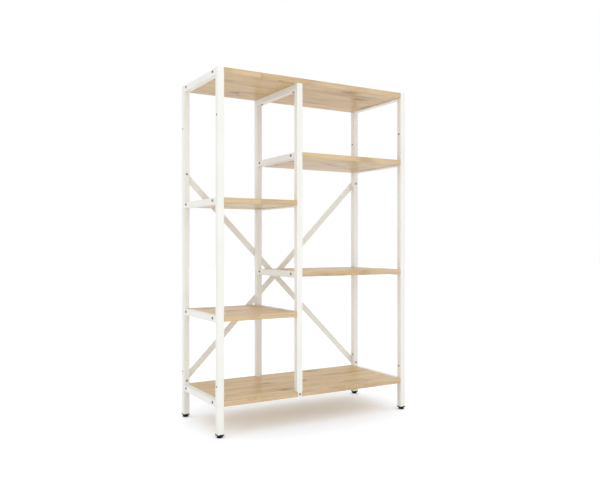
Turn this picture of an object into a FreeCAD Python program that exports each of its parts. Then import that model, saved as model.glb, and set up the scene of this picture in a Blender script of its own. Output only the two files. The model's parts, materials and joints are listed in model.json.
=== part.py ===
import FreeCAD, Part
import math
import os

import Sketcher

# Open shelving unit: welded square-tube frames, boards screwed in between, two flat brace bars behind.
# Millimetres. +Z is up, -Y is the front, +X is the right-hand side seen from the front.
# The origin is on the floor, at the middle of the four corner posts.

doc = FreeCAD.newDocument("shelving_unit")
dim = doc.addObject("Spreadsheet::Sheet", "dim")

# Sizes that are chosen. Every other size on the unit follows from these.
# The left bay's width is its share of the clear width of both bays. On the right only the top gap
# is chosen, and the two gaps below it are equal.
CHOSEN = [
    # The whole unit and its square tube
    ("overall_width", "700"),
    ("overall_depth", "300"),
    ("tube_side", "20"),
    ("tube_wall", "1.5"),
    ("tube_corner", "2"),
    ("bore_corner", "0.5"),
    # Boards, their edge band and the clear heights between them
    ("board_thickness", "16"),
    ("band_thickness", "1"),
    ("band_round", "0.4"),
    ("left_bay_share", "0.3875"),
    ("bottom_clearance", "91"),
    ("left_gap_low", "234"),
    ("left_gap_middle", "334"),
    ("left_gap_top", "367"),
    ("right_gap_top", "215"),
    # Plastic glides under the corner posts
    ("foot_height", "10"),
    ("foot_flange", "3"),
    ("foot_lip", "1"),
    ("foot_top_width", "20"),
    ("foot_base_width", "18"),
    ("foot_edge", "0.8"),
    # Plastic caps in the tops of the corner posts
    ("cap_flange", "1.5"),
    ("cap_round", "0.8"),
    # The ribbed plug that holds a glide or a cap in its tube
    ("plug_side", "14"),
    ("plug_corner", "1"),
    ("plug_length", "18"),
    ("rib_start", "3"),
    ("rib_pitch", "5"),
    ("rib_thickness", "1"),
    ("rib_clearance", "0.1"),
    # Dark button heads, alike on all screws and bolts
    ("head_width", "8"),
    ("head_height", "2.2"),
    ("head_round", "1.1"),
    ("socket_width", "3"),
    ("socket_depth", "1.3"),
    ("tip_length", "3"),
    ("tip_width", "2"),
    # Screws through the rungs into the board ends
    ("screw_shank", "5"),
    ("screw_from_post", "20"),
    ("screw_bite", "30"),
    ("top_screw_bite", "12"),
    ("pilot_extra", "1.5"),
    ("hole_clearance", "0.6"),
    # Tabs of the middle posts, held to the bottom board's edges
    ("tab_round", "2.5"),
    ("tab_side_gap", "2"),
    ("tab_shank", "4"),
    ("tab_screw_bite", "22"),
    # Flat brace bars with their bolts and nuts
    ("brace_width", "20"),
    ("brace_thickness", "2"),
    ("brace_low", "120"),
    ("brace_from_top", "290"),
    ("brace_end_flat", "40"),
    ("brace_middle_flat", "15"),
    ("bolt_shank", "5"),
    ("nut_width", "8"),
    ("nut_height", "4"),
    ("nut_bevel", "0.6"),
    ("bolt_end", "1"),
    # Holes through the corner posts, to bolt units side by side
    ("link_hole", "6"),
    ("link_low", "150"),
    ("link_from_top", "140"),
]

# Sizes and places that follow, each from the ones above it.
DERIVED = [
    ("left_boards", "4 * board_thickness"),
    ("left_gaps", "left_gap_low + left_gap_middle + left_gap_top"),
    ("overall_height", "bottom_clearance + left_boards + left_gaps"),
    ("bottom_top", "bottom_clearance + board_thickness"),
    ("left_low_top", "bottom_top + left_gap_low + board_thickness"),
    ("left_high_top", "left_low_top + left_gap_middle + board_thickness"),
    ("top_underside", "overall_height - board_thickness"),
    ("right_high_top", "top_underside - right_gap_top"),
    ("right_low_top", "(bottom_top + right_high_top) / 2"),
    ("post_x", "(overall_width - tube_side) / 2"),
    ("post_y", "(overall_depth - tube_side) / 2"),
    ("inner_x", "overall_width / 2 - tube_side"),
    ("long_board", "2 * inner_x"),
    ("left_bay_width", "left_bay_share * (long_board - tube_side)"),
    ("middle_x", "left_bay_width + tube_side / 2 - inner_x"),
    ("middle_left", "middle_x - tube_side / 2"),
    ("middle_right", "middle_x + tube_side / 2"),
    ("right_bay_width", "inner_x - middle_right"),
    ("left_bay_x", "(middle_left - inner_x) / 2"),
    ("right_bay_x", "(middle_right + inner_x) / 2"),
    ("front_y", "-overall_depth / 2"),
    ("back_y", "overall_depth / 2"),
    ("rung_length", "overall_depth - 2 * tube_side"),
    ("screw_y", "rung_length / 2 - screw_from_post"),
    ("screw_rise", "(tube_side - board_thickness) / 2"),
    ("half_board", "board_thickness / 2"),
    ("tab_width", "tube_side - 2 * tube_corner"),
    ("tab_length", "board_thickness"),
    ("tab_level", "bottom_top - tab_length / 2"),
    ("brace_high", "overall_height - brace_from_top"),
    ("brace_rise", "brace_high - brace_low"),
    ("brace_span", "sqrt(4 * post_x * post_x + brace_rise * brace_rise)"),
    ("brace_slope", "atan2(brace_rise; 2 * post_x)"),
    ("brace_middle", "(brace_low + brace_high) / 2"),
    ("link_high", "overall_height - link_from_top"),
]

for row, (alias, text) in enumerate(CHOSEN + [(name, "=" + rule) for name, rule in DERIVED], 1):
    dim.set(f"A{row}", alias)
    dim.set(f"B{row}", text)
    dim.setAlias(f"B{row}", alias)
doc.recompute()

LINES_UP = FreeCAD.Vector(0, 0, 1)
parts = []


def value(rule):
    """The number that a rule such as "dim.tube_side / 2" gives now."""
    found = dim.evalExpression(rule)
    return float(getattr(found, "Value", found))


def placed(item, x, y, z, axis=(0, 0, 1), turn="0"):
    """Puts a sub-part at three rules from the origin, turned about an axis through that point."""
    item.Placement = FreeCAD.Placement(FreeCAD.Vector(), FreeCAD.Rotation(FreeCAD.Vector(*axis), value(turn)))
    for direction, rule in zip("xyz", (x, y, z)):
        item.setExpression(f"Placement.Base.{direction}", rule)
    return item


def new_body(label, x, y, z, axis=(0, 0, 1), turn="0"):
    """An empty body that will be one physical piece, listed for export."""
    body = doc.addObject("PartDesign::Body", label)
    body.Label = label
    placed(body, x, y, z, axis, turn)
    parts.append(body)
    return body


def sketch_on(body, name, role, offset=None):
    """A sketch on one of the body's own planes, or lifted off it by a rule."""
    sketch = body.newObject("Sketcher::SketchObject", f"{body.Label}_{name}")
    plane = next(item for item in body.Origin.OriginFeatures if item.Role == role)
    sketch.AttachmentSupport = [(plane, "")]
    sketch.MapMode = "FlatFace"
    if offset:
        sketch.setExpression("AttachmentOffset.Base.z", offset)
    return sketch


def hold(sketch, kind, geometry, point, rule):
    """Ties one point of a sketch to a rule, measured from the sketch's centre."""
    if rule == "0":
        axis = -2 if kind == "DistanceX" else -1
        sketch.addConstraint(Sketcher.Constraint("PointOnObject", geometry, point, axis))
        return
    index = sketch.addConstraint(Sketcher.Constraint(kind, -1, 1, geometry, point, value(rule)))
    sketch.setExpression(f"Constraints[{index}]", rule)


def outline(sketch, corners):
    """A closed outline of straight lines, each corner held at its own pair of rules."""
    first = sketch.GeometryCount
    points = [FreeCAD.Vector(value(across), value(up), 0) for across, up in corners]
    count = len(points)
    for index in range(count):
        sketch.addGeometry(Part.LineSegment(points[index], points[(index + 1) % count]))
    for index, (across, up) in enumerate(corners):
        before = first + (index - 1) % count
        sketch.addConstraint(Sketcher.Constraint("Coincident", before, 2, first + index, 1))
        hold(sketch, "DistanceX", first + index, 1, across)
        hold(sketch, "DistanceY", first + index, 1, up)


def rectangle(sketch, left, bottom, right, top):
    """A rectangle between four rules."""
    outline(sketch, [(left, bottom), (right, bottom), (right, top), (left, top)])


def hexagon(sketch, flats):
    """A hexagon round the sketch's centre, given its width across the flats."""
    half, point, short = f"{flats} / 2", f"{flats} / sqrt(3)", f"{flats} / sqrt(12)"
    corners = [(point, "0"), (short, half), (f"-{short}", half)]
    corners += [(f"-{point}", "0"), (f"-{short}", f"-{half}"), (short, f"-{half}")]
    outline(sketch, corners)


def circle(sketch, across, up, width):
    """A circle of a given width round a point held at two rules."""
    centre = FreeCAD.Vector(value(across), value(up), 0)
    ring = sketch.addGeometry(Part.Circle(centre, LINES_UP, value(width) / 2))
    hold(sketch, "DistanceX", ring, 3, across)
    hold(sketch, "DistanceY", ring, 3, up)
    index = sketch.addConstraint(Sketcher.Constraint("Diameter", ring, value(width)))
    sketch.setExpression(f"Constraints[{index}]", width)


def rounded_square(sketch, half, corner):
    """A square round the sketch's centre, with its four corners rounded."""
    first = sketch.GeometryCount
    reach, radius = value(half), value(corner)
    flat = reach - radius
    for turn in range(4):
        spin = FreeCAD.Rotation(LINES_UP, 90 * turn)
        start = spin.multVec(FreeCAD.Vector(-flat, -reach, 0))
        end = spin.multVec(FreeCAD.Vector(flat, -reach, 0))
        centre = spin.multVec(FreeCAD.Vector(flat, -flat, 0))
        sketch.addGeometry(Part.LineSegment(start, end))
        from_angle = math.radians(90 * turn - 90)
        bend = Part.Circle(centre, LINES_UP, radius)
        sketch.addGeometry(Part.ArcOfCircle(bend, from_angle, from_angle + math.pi / 2))
    sides = [("Horizontal", "DistanceY", "-"), ("Vertical", "DistanceX", "")]
    sides += [("Horizontal", "DistanceY", ""), ("Vertical", "DistanceX", "-")]
    for turn, (lie, kind, sign) in enumerate(sides):
        line = first + 2 * turn
        bend = line + 1
        following = first + (2 * turn + 2) % 8
        sketch.addConstraint(Sketcher.Constraint(lie, line))
        sketch.addConstraint(Sketcher.Constraint("Tangent", line, 2, bend, 1))
        sketch.addConstraint(Sketcher.Constraint("Tangent", bend, 2, following, 1))
        hold(sketch, kind, line, 1, f"{sign}({half})")
        if turn:
            sketch.addConstraint(Sketcher.Constraint("Equal", first + 1, bend))
    index = sketch.addConstraint(Sketcher.Constraint("Radius", first + 1, radius))
    sketch.setExpression(f"Constraints[{index}]", corner)


def pad(body, sketch, length, centred=False, backward=False):
    """Adds the sketch's outline as a solid of a given length."""
    feature = body.newObject("PartDesign::Pad", f"{sketch.Label}_pad")
    feature.Profile = sketch
    feature.setExpression("Length", length)
    feature.SideType = "Symmetric" if centred else "One side"
    feature.Reversed = backward
    doc.recompute()
    return feature


def pocket(body, sketch, depth=None, backward=False):
    """Cuts the sketch's outline to a depth, or right through both ways."""
    before = body.Shape.Volume
    feature = body.newObject("PartDesign::Pocket", f"{sketch.Label}_cut")
    feature.Profile = sketch
    feature.Reversed = backward
    if depth:
        feature.setExpression("Length", depth)
    else:
        feature.Type = "ThroughAll"
        feature.SideType = "Symmetric"
    doc.recompute()
    if not body.Shape.Volume < before:
        raise ValueError(f"{sketch.Label} cuts nothing")
    return feature


def revolve(body, sketch):
    """Turns the sketch's outline once round the sketch's upright axis."""
    feature = body.newObject("PartDesign::Revolution", f"{sketch.Label}_turned")
    feature.Profile = sketch
    feature.ReferenceAxis = (sketch, ["V_Axis"])
    feature.Angle = 360
    doc.recompute()
    return feature


def edges_where(body, test):
    """Names of the edges of the body's newest shape whose middle passes a test."""
    names = []
    for index, edge in enumerate(body.Tip.Shape.Edges, 1):
        middle = edge.valueAt((edge.FirstParameter + edge.LastParameter) / 2)
        if test(edge, middle):
            names.append(f"Edge{index}")
    return names


def dress(body, kind, edges, size):
    """Rounds or bevels the named edges of the body's newest shape."""
    base = body.Tip
    feature = body.newObject(f"PartDesign::{kind}", f"{body.Label}_{kind.lower()}")
    feature.Base = (base, edges)
    feature.setExpression("Radius" if kind == "Fillet" else "Size", size)
    doc.recompute()
    return feature


def near(first, second):
    """True where two lengths are the same but for rounding."""
    return math.isclose(first, second, rel_tol=1e-6, abs_tol=1e-6)


# Square tube: the outside and the bore, as one ring

def tube(body, role, length, centred=False):
    """A length of the unit's square tube, standing on one of the body's planes."""
    section = sketch_on(body, "section", role)
    rounded_square(section, "dim.tube_side / 2", "dim.tube_corner")
    rounded_square(section, "dim.tube_side / 2 - dim.tube_wall", "dim.bore_corner")
    pad(body, section, length, centred=centred)


# Corner posts, with link holes; the rear ones take the brace bolts too

def corner_post(label, x, y, braced):
    """One upright of an end frame, from its glide to its cap."""
    body = new_body(label, x, y, "dim.foot_height")
    tube(body, "XY_Plane", "dim.overall_height - dim.cap_flange - dim.foot_height")
    links = sketch_on(body, "link_holes", "YZ_Plane")
    circle(links, "0", "dim.link_low - dim.foot_height", "dim.link_hole")
    circle(links, "0", "dim.link_high - dim.foot_height", "dim.link_hole")
    pocket(body, links)
    if braced:
        bolts = sketch_on(body, "brace_holes", "XZ_Plane")
        circle(bolts, "0", "dim.brace_low - dim.foot_height", "dim.bolt_shank + dim.hole_clearance")
        circle(bolts, "0", "dim.brace_high - dim.foot_height", "dim.bolt_shank + dim.hole_clearance")
        pocket(body, bolts)


corner_post("left_front_post", "-dim.post_x", "-dim.post_y", False)
corner_post("left_rear_post", "-dim.post_x", "dim.post_y", True)
corner_post("right_front_post", "dim.post_x", "-dim.post_y", False)
corner_post("right_rear_post", "dim.post_x", "dim.post_y", True)


# Middle posts: the outer wall runs on below the cut end as a tab over the bottom board's edge

def middle_post(label, y, turn):
    """One upright of the middle frame, from the bottom board to the top board."""
    body = new_body(label, "dim.middle_x", y, "dim.bottom_top", turn=turn)
    tube(body, "XY_Plane", "dim.top_underside - dim.bottom_top")
    tab = sketch_on(body, "tab", "XY_Plane")
    outer, inner = "-dim.tube_side / 2", "dim.tube_wall - dim.tube_side / 2"
    rectangle(tab, "-dim.tab_width / 2", outer, "dim.tab_width / 2", inner)
    pad(body, tab, "dim.tab_length", backward=True)

    def lower_corner(edge, middle):
        low = near(middle.z, -value("dim.tab_length"))
        return low and near(abs(middle.x), value("dim.tab_width / 2"))

    dress(body, "Fillet", edges_where(body, lower_corner), "dim.tab_round")
    hole = sketch_on(body, "tab_hole", "XZ_Plane")
    circle(hole, "0", "-dim.tab_length / 2", "dim.tab_shank + dim.hole_clearance")
    pocket(body, hole)


middle_post("middle_front_post", "-dim.post_y", "0")
middle_post("middle_rear_post", "dim.post_y", "180")


# Rungs: short tubes from front post to rear post, their tops level with the boards' tops

def rung(label, x, top, upright=False):
    """One rung with its two screw holes, across the unit or up into the top board."""
    body = new_body(label, x, "0", f"{top} - dim.tube_side / 2")
    tube(body, "XZ_Plane", "dim.rung_length", centred=True)
    holes = sketch_on(body, "screw_holes", "XY_Plane" if upright else "YZ_Plane")
    for sign in ("-", ""):
        across, up = ("0", f"{sign}dim.screw_y") if upright else (f"{sign}dim.screw_y", "dim.screw_rise")
        circle(holes, across, up, "dim.screw_shank + dim.hole_clearance")
    pocket(body, holes)


rung("left_rung_top", "-dim.post_x", "dim.overall_height")
rung("left_rung_upper", "-dim.post_x", "dim.left_high_top")
rung("left_rung_lower", "-dim.post_x", "dim.left_low_top")
rung("left_rung_bottom", "-dim.post_x", "dim.bottom_top")
rung("right_rung_top", "dim.post_x", "dim.overall_height")
rung("right_rung_upper", "dim.post_x", "dim.right_high_top")
rung("right_rung_lower", "dim.post_x", "dim.right_low_top")
rung("right_rung_bottom", "dim.post_x", "dim.bottom_top")
rung("middle_rung_top", "dim.middle_x", "dim.top_underside", upright=True)
rung("middle_rung_right_upper", "dim.middle_x", "dim.right_high_top")
rung("middle_rung_left_upper", "dim.middle_x", "dim.left_high_top")
rung("middle_rung_right_lower", "dim.middle_x", "dim.right_low_top")
rung("middle_rung_left_lower", "dim.middle_x", "dim.left_low_top")


# Boards: a faced core inside an edge band; both are drilled and notched alike

def end_pilots(body, length):
    """Two pilot holes in each end, for the screws that come through the rungs."""
    for side, offset, backward in (("right", f"{length} / 2", False), ("left", f"-{length} / 2", True)):
        pilots = sketch_on(body, f"{side}_pilots", "YZ_Plane", offset)
        for sign in ("-", ""):
            circle(pilots, f"{sign}dim.screw_y", "dim.half_board", "dim.screw_shank")
        pocket(body, pilots, "dim.screw_bite + dim.pilot_extra", backward)


def tab_seats(body):
    """Shallow notches in the bottom board's long edges, where the middle posts' tabs lie."""
    seats = sketch_on(body, "tab_seats", "XY_Plane")
    reach = "(dim.tab_width / 2 + dim.tab_side_gap)"
    for edge, floor in (("dim.front_y", "dim.front_y + dim.tube_wall"), ("dim.back_y", "dim.back_y - dim.tube_wall")):
        rectangle(seats, f"dim.middle_x - {reach}", edge, f"dim.middle_x + {reach}", floor)
    pocket(body, seats)


def tab_pilots(body):
    """One pilot hole in each notch."""
    for side, offset, backward in (("front", "-dim.front_y", False), ("rear", "-dim.back_y", True)):
        pilot = sketch_on(body, f"{side}_tab_pilot", "XZ_Plane", offset)
        circle(pilot, "dim.middle_x", "dim.tab_level - dim.bottom_clearance", "dim.tab_shank")
        pocket(body, pilot, "dim.tube_wall + dim.tab_screw_bite + dim.pilot_extra", backward)


def top_pilots(body):
    """Two pilot holes up into the top board, over the middle frame's top rung."""
    pilots = sketch_on(body, "top_pilots", "XY_Plane")
    for sign in ("-", ""):
        circle(pilots, "dim.middle_x", f"{sign}dim.screw_y", "dim.screw_shank")
    pocket(body, pilots, "dim.top_screw_bite + dim.pilot_extra", True)


def board(label, x, top, length, notched=False, topmost=False):
    """One board's faced core, without its band."""
    body = new_body(label, x, "0", f"{top} - dim.board_thickness")
    plan = sketch_on(body, "plan", "XY_Plane")
    across, along = f"({length} / 2 - dim.band_thickness)", "(dim.overall_depth / 2 - dim.band_thickness)"
    rectangle(plan, f"-{across}", f"-{along}", across, along)
    pad(body, plan, "dim.board_thickness")
    end_pilots(body, length)
    if notched:
        tab_seats(body)
        tab_pilots(body)
    if topmost:
        top_pilots(body)


def edge_band(label, x, top, length, notched=False):
    """The band round one board's four edges, its outer corners slightly eased."""
    body = new_body(label, x, "0", f"{top} - dim.board_thickness")
    plan = sketch_on(body, "plan", "XY_Plane")
    rectangle(plan, f"-{length} / 2", "dim.front_y", f"{length} / 2", "dim.back_y")
    across, along = f"({length} / 2 - dim.band_thickness)", "(dim.overall_depth / 2 - dim.band_thickness)"
    rectangle(plan, f"-{across}", f"-{along}", across, along)
    pad(body, plan, "dim.board_thickness")

    def outer_rim(edge, middle):
        level = near(middle.z, 0) or near(middle.z, value("dim.board_thickness"))
        at_side = near(abs(middle.x), value(f"{length} / 2"))
        return level and (at_side or near(abs(middle.y), value("dim.back_y")))

    dress(body, "Fillet", edges_where(body, outer_rim), "dim.band_round")
    end_pilots(body, length)
    if notched:
        tab_seats(body)


BOARDS = [
    ("top_board", "0", "dim.overall_height", "dim.long_board"),
    ("right_upper_shelf", "dim.right_bay_x", "dim.right_high_top", "dim.right_bay_width"),
    ("left_upper_shelf", "dim.left_bay_x", "dim.left_high_top", "dim.left_bay_width"),
    ("right_lower_shelf", "dim.right_bay_x", "dim.right_low_top", "dim.right_bay_width"),
    ("left_lower_shelf", "dim.left_bay_x", "dim.left_low_top", "dim.left_bay_width"),
    ("bottom_board", "0", "dim.bottom_top", "dim.long_board"),
]
for label, x, top, length in BOARDS:
    lowest = label == "bottom_board"
    board(label, x, top, length, notched=lowest, topmost=label == "top_board")
    edge_band(f"{label}_edging", x, top, length, notched=lowest)


# Ribbed plugs: a square stem with three thin ribs that fit the tube's bore

def ribbed_plug(body, start):
    """The stem and ribs that stand on a flange at a given height."""
    stem = sketch_on(body, "stem", "XY_Plane", start)
    rounded_square(stem, "dim.plug_side / 2", "dim.plug_corner")
    pad(body, stem, "dim.plug_length")
    rib = sketch_on(body, "rib", "XY_Plane", f"{start} + dim.rib_start")
    rounded_square(rib, "dim.tube_side / 2 - dim.tube_wall - dim.rib_clearance", "dim.bore_corner")
    first_rib = pad(body, rib, "dim.rib_thickness")
    ribs = body.newObject("PartDesign::LinearPattern", f"{body.Label}_ribs")
    ribs.Originals = [first_rib]
    ribs.Direction = (rib, ["N_Axis"])
    ribs.setExpression("Length", "2 * dim.rib_pitch")
    ribs.Occurrences = 3
    body.Tip = ribs
    doc.recompute()


# Glides: black plastic, a tapered round pad under a square flange that stands a little proud of the tube

def glide(label, x, y):
    """One glide, from the floor up into the post's bore."""
    body = new_body(label, x, y, "0")
    side = sketch_on(body, "side", "XZ_Plane")
    neck = "dim.foot_height - dim.foot_flange"
    base, rim = "dim.foot_base_width / 2", "dim.foot_top_width / 2"
    corners = [("0", "0"), (f"{base} - dim.foot_edge", "0"), (base, "dim.foot_edge")]
    outline(side, corners + [(rim, neck), ("0", neck)])
    revolve(body, side)
    flange = sketch_on(body, "flange", "XY_Plane", neck)
    rounded_square(flange, "dim.tube_side / 2 + dim.foot_lip", "dim.tube_corner + dim.foot_lip")
    pad(body, flange, "dim.foot_flange")
    ribbed_plug(body, "dim.foot_height")


# Caps: white plastic, level with the top board, built downwards from their top face

def cap(label, x, y):
    """One cap with its eased top edge."""
    body = new_body(label, x, y, "dim.overall_height", axis=(1, 0, 0), turn="180")
    flange = sketch_on(body, "flange", "XY_Plane")
    rounded_square(flange, "dim.tube_side / 2", "dim.tube_corner")
    pad(body, flange, "dim.cap_flange")

    def top_edge(edge, middle):
        return near(middle.z, 0)

    dress(body, "Fillet", edges_where(body, top_edge), "dim.cap_round")
    ribbed_plug(body, "dim.cap_flange")


CORNERS = [
    ("left_front", "-dim.post_x", "-dim.post_y"),
    ("left_rear", "-dim.post_x", "dim.post_y"),
    ("right_front", "dim.post_x", "-dim.post_y"),
    ("right_rear", "dim.post_x", "dim.post_y"),
]
for corner, x, y in CORNERS:
    glide(f"{corner}_foot", x, y)
    cap(f"{corner}_cap", x, y)


# Screws and bolts: one pattern piece of each kind, its head's seat at the centre and its head upwards

def headed(label, shank, length, pointed):
    """A pattern screw or bolt with a low round head and a hexagon socket."""
    body = doc.addObject("PartDesign::Body", label)
    body.Label = label
    side = sketch_on(body, "side", "XZ_Plane")
    head, stem = "dim.head_width / 2", f"{shank} / 2"
    corners = [("0", "dim.head_height"), ("0", f"-({length})")]
    if pointed:
        corners += [("dim.tip_width / 2", f"-({length})"), (stem, f"dim.tip_length - ({length})")]
    else:
        corners += [(stem, f"-({length})")]
    outline(side, corners + [(stem, "0"), (head, "0"), (head, "dim.head_height")])
    revolve(body, side)

    def rim(edge, middle):
        wide = near(math.hypot(middle.x, middle.y), value(head))
        return wide and near(middle.z, value("dim.head_height"))

    dress(body, "Fillet", edges_where(body, rim), "dim.head_round")
    socket = sketch_on(body, "socket", "XY_Plane", "dim.head_height")
    hexagon(socket, "dim.socket_width")
    pocket(body, socket, "dim.socket_depth")
    return body


def nut(label):
    """A pattern nut, standing on the centre."""
    body = doc.addObject("PartDesign::Body", label)
    body.Label = label
    plan = sketch_on(body, "plan", "XY_Plane")
    hexagon(plan, "dim.nut_width")
    circle(plan, "0", "0", "dim.bolt_shank")
    pad(body, plan, "dim.nut_height")

    def outer_corner(edge, middle):
        outside = math.hypot(middle.x, middle.y) > value("dim.nut_width") / 2 - value("dim.nut_bevel")
        return outside and near(middle.z, value("dim.nut_height"))

    dress(body, "Chamfer", edges_where(body, outer_corner), "dim.nut_bevel")
    return body


def group(label, pattern, places):
    """Equal fasteners that share a node, each a separate solid at its own place."""
    copies = []
    for count, (x, y, z, axis, turn) in enumerate(places, 1):
        copy = doc.addObject("App::Link", f"{label}_{count}")
        copy.LinkedObject = pattern
        placed(copy, x, y, z, axis, turn)
        copies.append(copy)
    together = doc.addObject("Part::Compound", label)
    together.Label = label
    together.Links = copies
    parts.append(together)
    doc.recompute()


ABOUT_X, ABOUT_Y = (1, 0, 0), (0, 1, 0)
HEAD_LEFT, HEAD_RIGHT = (ABOUT_Y, "-90"), (ABOUT_Y, "90")
HEAD_FRONT, HEAD_BACK, HEAD_DOWN = (ABOUT_X, "90"), (ABOUT_X, "-90"), (ABOUT_X, "180")

board_screw = headed("board_screw", "dim.screw_shank", "dim.tube_side + dim.screw_bite", True)
top_screw = headed("top_screw", "dim.screw_shank", "dim.tube_side + dim.top_screw_bite", True)
tab_screw = headed("tab_screw", "dim.tab_shank", "dim.tube_wall + dim.tab_screw_bite", True)
NUT_STACK = "dim.nut_height + dim.bolt_end"
end_bolt = headed("end_bolt", "dim.bolt_shank", f"dim.tube_side + dim.brace_thickness + {NUT_STACK}", False)
cross_bolt = headed("cross_bolt", "dim.bolt_shank", f"2 * dim.brace_thickness + {NUT_STACK}", False)
brace_nut = nut("brace_nut")


def rung_places(x, tops, facing):
    """A front and a rear screw at each board whose top is listed."""
    return [(x, f"{sign}dim.screw_y", f"{top} - dim.half_board", *facing) for top in tops for sign in ("-", "")]


LEFT_TOPS = ["dim.left_high_top", "dim.left_low_top"]
RIGHT_TOPS = ["dim.right_high_top", "dim.right_low_top"]
END_TOPS = ["dim.overall_height", "dim.bottom_top"]
group("left_frame_screws", board_screw, rung_places("-dim.overall_width / 2", END_TOPS + LEFT_TOPS, HEAD_LEFT))
group("right_frame_screws", board_screw, rung_places("dim.overall_width / 2", END_TOPS + RIGHT_TOPS, HEAD_RIGHT))
group("middle_screws_to_right_shelves", board_screw, rung_places("dim.middle_left", RIGHT_TOPS, HEAD_LEFT))
group("middle_screws_to_left_shelves", board_screw, rung_places("dim.middle_right", LEFT_TOPS, HEAD_RIGHT))
group("middle_top_screws", top_screw, [
    ("dim.middle_x", f"{sign}dim.screw_y", "dim.top_underside - dim.tube_side", *HEAD_DOWN) for sign in ("-", "")])
group("tab_screws", tab_screw, [
    ("dim.middle_x", "dim.front_y", "dim.tab_level", *HEAD_FRONT),
    ("dim.middle_x", "dim.back_y", "dim.tab_level", *HEAD_BACK)])

BRACE_ENDS = [(x, z) for x in ("-dim.post_x", "dim.post_x") for z in ("dim.brace_low", "dim.brace_high")]
group("brace_bolts", end_bolt, [(x, "dim.back_y - dim.tube_side", z, *HEAD_FRONT) for x, z in BRACE_ENDS])
group("brace_nuts", brace_nut, [(x, "dim.back_y + dim.brace_thickness", z, *HEAD_BACK) for x, z in BRACE_ENDS])
group("brace_centre_bolt", cross_bolt, [("0", "dim.back_y", "dim.brace_middle", *HEAD_FRONT)])
group("brace_centre_nut", brace_nut, [("0", "dim.back_y + 2 * dim.brace_thickness", "dim.brace_middle", *HEAD_BACK)])


# Rising brace: a straight flat bar with round ends, against the rear posts

def rising_brace(label):
    """The bar from the left foot end up to the right."""
    body = new_body(label, "0", "dim.back_y", "dim.brace_middle", axis=(0, -1, 0))
    body.setExpression("Placement.Rotation.Angle", "dim.brace_slope")
    flat = sketch_on(body, "flat", "XZ_Plane")
    half, width = "dim.brace_span / 2", "dim.brace_width / 2"
    reach, radius = value(half), value(width)
    below = Part.LineSegment(FreeCAD.Vector(-reach, -radius, 0), FreeCAD.Vector(reach, -radius, 0))
    above = Part.LineSegment(FreeCAD.Vector(reach, radius, 0), FreeCAD.Vector(-reach, radius, 0))
    right_end = Part.Circle(FreeCAD.Vector(reach, 0, 0), LINES_UP, radius)
    left_end = Part.Circle(FreeCAD.Vector(-reach, 0, 0), LINES_UP, radius)
    flat.addGeometry(below)
    flat.addGeometry(Part.ArcOfCircle(right_end, -math.pi / 2, math.pi / 2))
    flat.addGeometry(above)
    flat.addGeometry(Part.ArcOfCircle(left_end, math.pi / 2, 3 * math.pi / 2))
    for index in range(4):
        flat.addConstraint(Sketcher.Constraint("Tangent", index, 2, (index + 1) % 4, 1))
    flat.addConstraint(Sketcher.Constraint("Horizontal", 0))
    hold(flat, "DistanceX", 1, 3, half)
    hold(flat, "DistanceX", 3, 3, f"-{half}")
    hold(flat, "DistanceY", 1, 3, "0")
    index = flat.addConstraint(Sketcher.Constraint("Radius", 1, radius))
    flat.setExpression(f"Constraints[{index}]", width)
    for across in (f"-{half}", "0", half):
        circle(flat, across, "0", "dim.bolt_shank + dim.hole_clearance")
    pad(body, flat, "dim.brace_thickness", backward=True)


rising_brace("brace_rising")


# Falling brace: the same bar, but its middle is set back by one thickness to pass behind the other.
# Each half is one gentle S of two equal arcs, tangent to the flat end and to the flat middle.

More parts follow.
